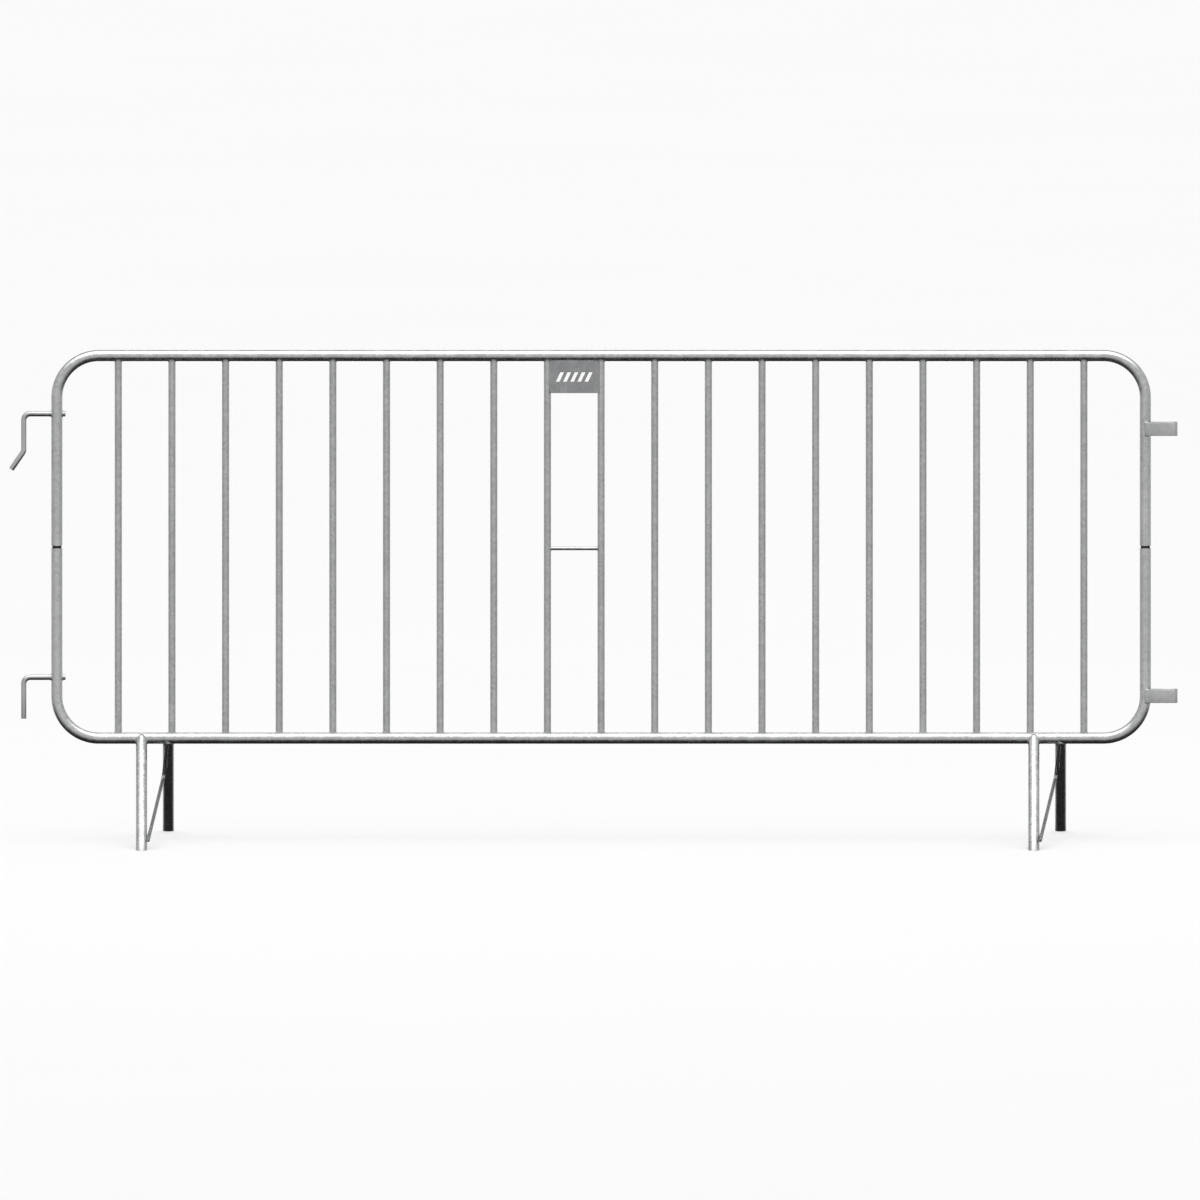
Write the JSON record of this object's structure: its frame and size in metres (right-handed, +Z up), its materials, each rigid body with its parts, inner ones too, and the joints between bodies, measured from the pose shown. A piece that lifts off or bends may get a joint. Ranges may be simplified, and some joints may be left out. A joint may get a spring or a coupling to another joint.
{
  "type": "crowd control barrier",
  "caption": "Free-standing steel barrier: bent tube frame with vertical bars, splayed fixed legs, hooks at one end and loops at the other to link with the next.",
  "frame": {"origin": "on the ground, below the middle of the overall length, in the plane of the frame", "axes": "+Z up; +X along the rails, with the hooks at -X and the loops at +X; +Y to the rear, with the name plate on the -Y face"},
  "size_m": [2.6136, 0.6412, 1.1],
  "materials": {
    "galvanised_tube": "hot-dip galvanised, matt with a faint spangle",
    "galvanised_bar": "hot-dip galvanised, matt with a faint spangle",
    "galvanised_rod": "hot-dip galvanised, worn brighter where it rubs",
    "galvanised_strap": "hot-dip galvanised flat bar, worn brighter inside",
    "galvanised_plate": "hot-dip galvanised sheet, duller and darker than the tube",
    "joint_sleeve": "dull zinc in shadow"
  },
  "bodies": {
    "root": {"top_frame_tube": "galvanised_tube", "bottom_frame_tube": "galvanised_tube", "left_joint_sleeve": "joint_sleeve", "right_joint_sleeve": "joint_sleeve", "infill_bar_01": "galvanised_bar", "infill_bar_02": "galvanised_bar", "infill_bar_03": "galvanised_bar", "infill_bar_04": "galvanised_bar", "infill_bar_05": "galvanised_bar", "infill_bar_06": "galvanised_bar", "infill_bar_07": "galvanised_bar", "infill_bar_08": "galvanised_bar", "infill_bar_09": "galvanised_bar", "infill_bar_10": "galvanised_bar", "infill_bar_11": "galvanised_bar", "infill_bar_12": "galvanised_bar", "infill_bar_13": "galvanised_bar", "infill_bar_14": "galvanised_bar", "infill_bar_15": "galvanised_bar", "infill_bar_16": "galvanised_bar", "infill_bar_17": "galvanised_bar", "infill_bar_18": "galvanised_bar", "infill_bar_19": "galvanised_bar", "cross_rod": "galvanised_rod", "name_plate": "galvanised_plate", "upper_hook": "galvanised_rod", "lower_hook": "galvanised_rod", "upper_loop": "galvanised_strap", "lower_loop": "galvanised_strap", "front_left_leg": "galvanised_tube", "rear_left_leg": "galvanised_tube", "front_right_leg": "galvanised_tube", "rear_right_leg": "galvanised_tube", "left_leg_brace": "galvanised_rod", "right_leg_brace": "galvanised_rod"}
  },
  "joints": []
}
